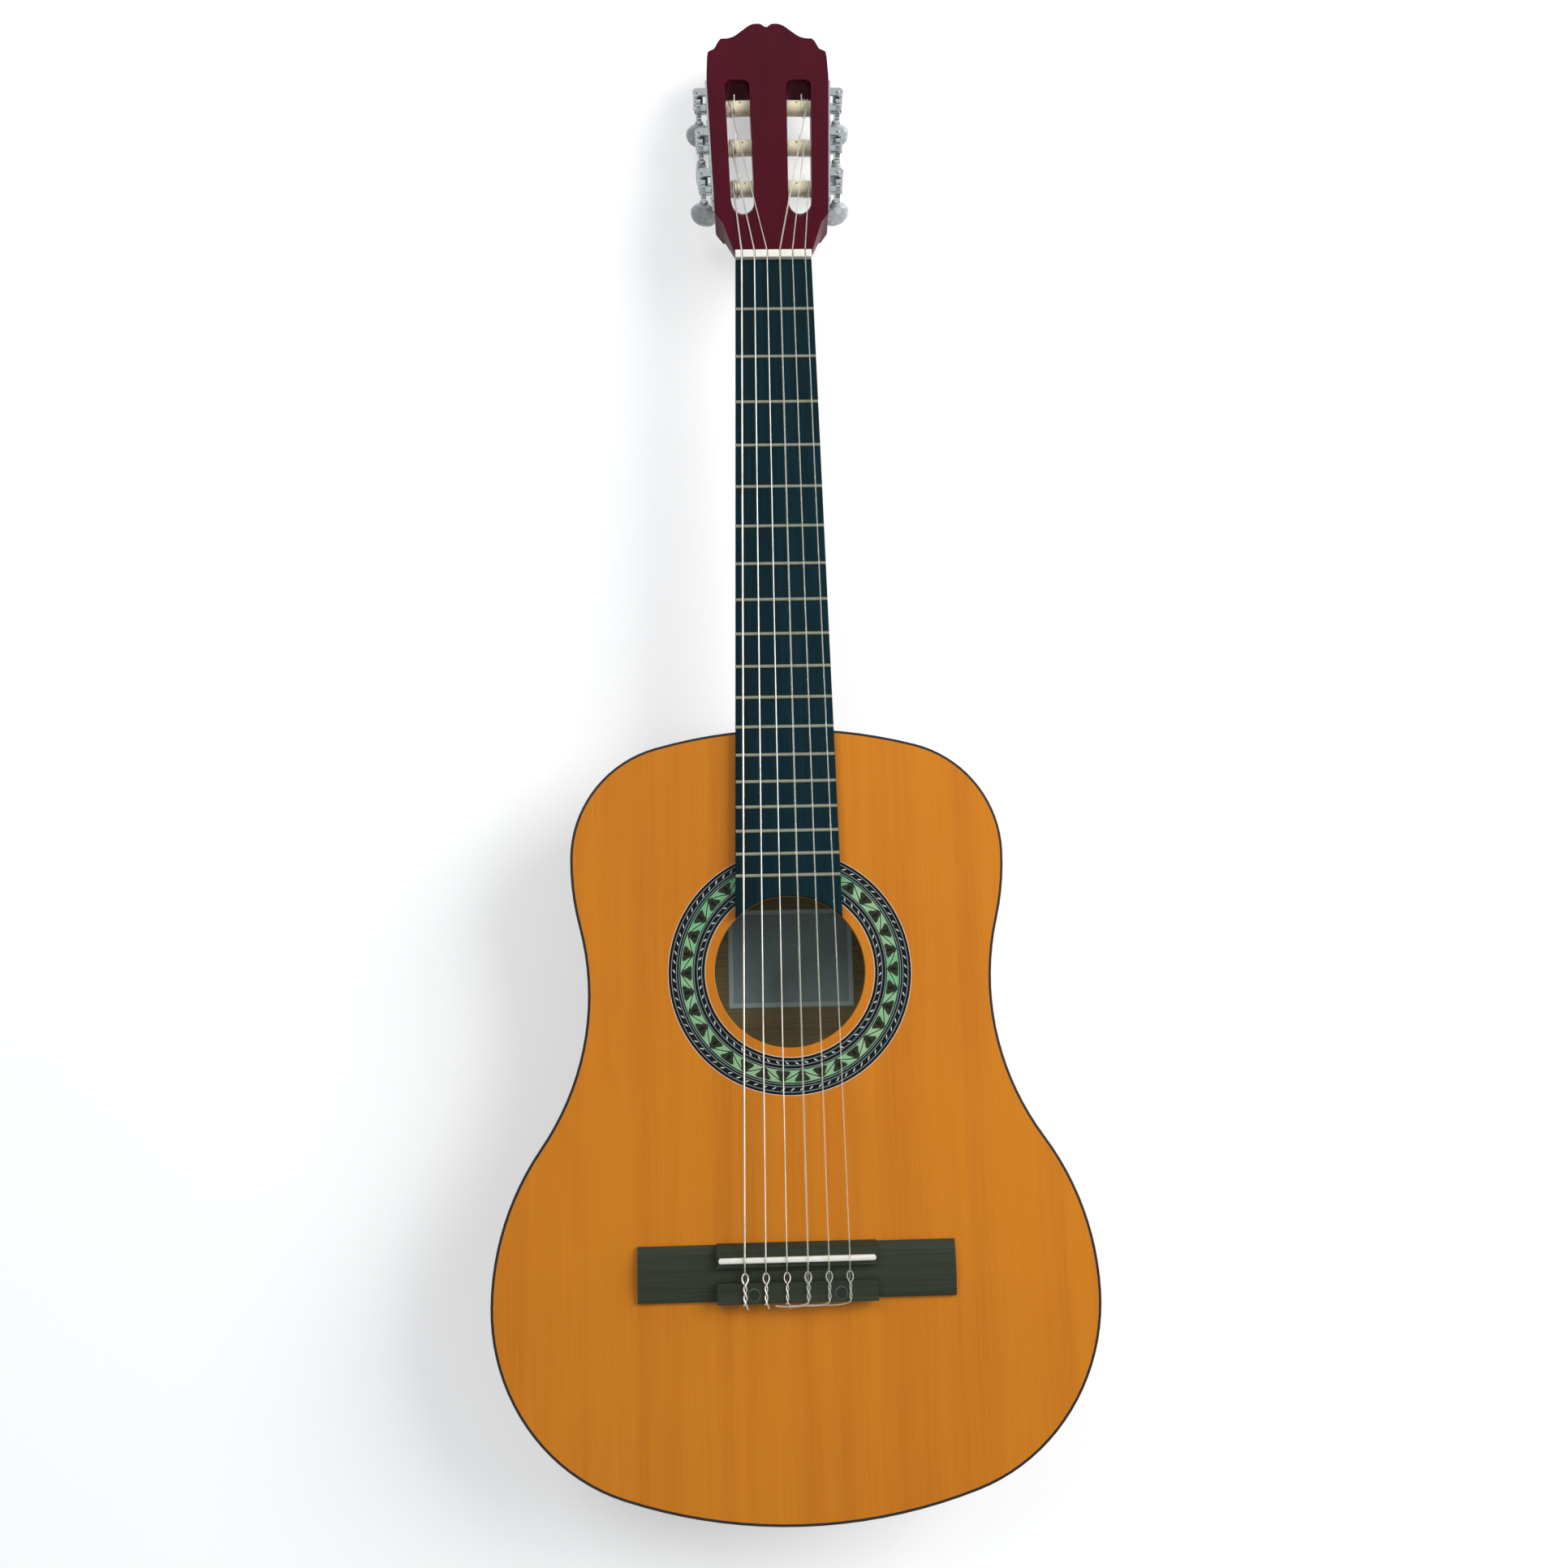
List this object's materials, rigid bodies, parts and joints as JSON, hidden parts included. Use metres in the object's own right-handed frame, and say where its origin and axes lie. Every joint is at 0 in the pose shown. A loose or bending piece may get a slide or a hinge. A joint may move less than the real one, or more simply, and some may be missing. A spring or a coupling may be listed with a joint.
{
  "type": "classical guitar",
  "caption": "Small classical guitar: hollow waisted body with a round soundhole, bridge, fretted neck and a slotted head whose geared tuners turn string rollers.",
  "frame": {"origin": "on the outer face of the flat back, on the centre line, below the saddle", "axes": "+Z out of the soundboard, square to the back; +Y towards the head; +X towards the treble side"},
  "size_m": [0.3324, 0.928, 0.0988],
  "materials": {
    "soundboard": "amber gloss lacquer over straight-grained spruce",
    "body_wood": "gloss lacquer over dark brown wood",
    "edging": "black, polished",
    "inner_wood": "bare, planed",
    "inlay": "green and black mosaic with pale lines, lacquered",
    "paper": "bare paper",
    "neck_wood": "burgundy gloss lacquer",
    "board_wood": "dyed dark, satin",
    "fret_wire": "drawn wire, worn bright",
    "bone": "white, polished",
    "bridge_wood": "dark, satin",
    "bolt_cap": "black with a pale ring",
    "hardware": "chrome plated steel",
    "roller_sleeve": "ivory coloured",
    "button_pearl": "pearly grey white",
    "wound_string": "silver plated winding",
    "plain_string": "clear nylon"
  },
  "bodies": {
    "guitar": {"top_plate": "soundboard", "back_plate": "body_wood", "bass_side": "body_wood", "treble_side": "body_wood", "top_binding": "edging", "back_binding": "edging", "neck_block": "inner_wood", "tail_block": "inner_wood", "top_linings": "inner_wood", "back_linings": "inner_wood", "top_cross_braces": "inner_wood", "fan_braces": "inner_wood", "back_braces": "inner_wood", "bridge_patch": "inner_wood", "soundhole_reinforcement": "inner_wood", "rosette": "inlay", "maker_label": "paper", "neck": "neck_wood", "headstock": "neck_wood", "head_veneer": "neck_wood", "fingerboard": "board_wood", "frets": "fret_wire", "nut": "bone", "bridge": "bridge_wood", "saddle": "bone", "bridge_bolts": "bolt_cap", "bass_tuner_plate": "hardware", "treble_tuner_plate": "hardware", "tuner_plate_screws": "hardware", "string_1": "plain_string", "string_2": "plain_string", "string_3": "plain_string", "string_4": "wound_string", "string_5": "wound_string", "string_6": "wound_string"},
    "worm_shaft_1": {"worm_1": "hardware", "button_1": "button_pearl"},
    "roller_shaft_1": {"roller_1": "roller_sleeve", "gear_1": "hardware"},
    "worm_shaft_2": {"worm_2": "hardware", "button_2": "button_pearl"},
    "roller_shaft_2": {"roller_2": "roller_sleeve", "gear_2": "hardware"},
    "worm_shaft_3": {"worm_3": "hardware", "button_3": "button_pearl"},
    "roller_shaft_3": {"roller_3": "roller_sleeve", "gear_3": "hardware"},
    "worm_shaft_4": {"worm_4": "hardware", "button_4": "button_pearl"},
    "roller_shaft_4": {"roller_4": "roller_sleeve", "gear_4": "hardware"},
    "worm_shaft_5": {"worm_5": "hardware", "button_5": "button_pearl"},
    "roller_shaft_5": {"roller_5": "roller_sleeve", "gear_5": "hardware"},
    "worm_shaft_6": {"worm_6": "hardware", "button_6": "button_pearl"},
    "roller_shaft_6": {"roller_6": "roller_sleeve", "gear_6": "hardware"}
  },
  "joints": [
    {"name": "button_turn_1", "type": "hinge", "parent": "guitar", "child": "worm_shaft_1", "pos_m": [0.04362, 0.66296, 0.0586], "axis": [0, 0.217, 0.9762], "continuous": true},
    {"name": "roller_turn_1", "type": "hinge", "parent": "guitar", "child": "roller_shaft_1", "pos_m": [0.03688, 0.65467, 0.06045], "axis": [0.9992, -0.0386, 0.0086], "continuous": true},
    {"name": "button_turn_2", "type": "hinge", "parent": "guitar", "child": "worm_shaft_2", "pos_m": [0.045, 0.6971, 0.05102], "axis": [0, 0.217, 0.9762], "continuous": true},
    {"name": "roller_turn_2", "type": "hinge", "parent": "guitar", "child": "roller_shaft_2", "pos_m": [0.03826, 0.68881, 0.05286], "axis": [0.9992, -0.0386, 0.0086], "continuous": true},
    {"name": "button_turn_3", "type": "hinge", "parent": "guitar", "child": "worm_shaft_3", "pos_m": [0.04639, 0.73124, 0.04343], "axis": [0, 0.217, 0.9762], "continuous": true},
    {"name": "roller_turn_3", "type": "hinge", "parent": "guitar", "child": "roller_shaft_3", "pos_m": [0.03965, 0.72295, 0.04527], "axis": [0.9992, -0.0386, 0.0086], "continuous": true},
    {"name": "button_turn_4", "type": "hinge", "parent": "guitar", "child": "worm_shaft_4", "pos_m": [-0.04639, 0.73124, 0.04343], "axis": [0, 0.217, 0.9762], "continuous": true},
    {"name": "roller_turn_4", "type": "hinge", "parent": "guitar", "child": "roller_shaft_4", "pos_m": [-0.03965, 0.72295, 0.04527], "axis": [0.9992, 0.0386, -0.0086], "continuous": true},
    {"name": "button_turn_5", "type": "hinge", "parent": "guitar", "child": "worm_shaft_5", "pos_m": [-0.045, 0.6971, 0.05102], "axis": [0, 0.217, 0.9762], "continuous": true},
    {"name": "roller_turn_5", "type": "hinge", "parent": "guitar", "child": "roller_shaft_5", "pos_m": [-0.03826, 0.68881, 0.05286], "axis": [0.9992, 0.0386, -0.0086], "continuous": true},
    {"name": "button_turn_6", "type": "hinge", "parent": "guitar", "child": "worm_shaft_6", "pos_m": [-0.04362, 0.66296, 0.0586], "axis": [0, 0.217, 0.9762], "continuous": true},
    {"name": "roller_turn_6", "type": "hinge", "parent": "guitar", "child": "roller_shaft_6", "pos_m": [-0.03688, 0.65467, 0.06045], "axis": [0.9992, 0.0386, -0.0086], "continuous": true}
  ],
  "couplings": [
    {"joint": "roller_turn_1", "follows": "button_turn_1", "ratio": -0.071429},
    {"joint": "roller_turn_2", "follows": "button_turn_2", "ratio": -0.071429},
    {"joint": "roller_turn_3", "follows": "button_turn_3", "ratio": -0.071429},
    {"joint": "roller_turn_4", "follows": "button_turn_4", "ratio": -0.071429},
    {"joint": "roller_turn_5", "follows": "button_turn_5", "ratio": -0.071429},
    {"joint": "roller_turn_6", "follows": "button_turn_6", "ratio": -0.071429}
  ]
}
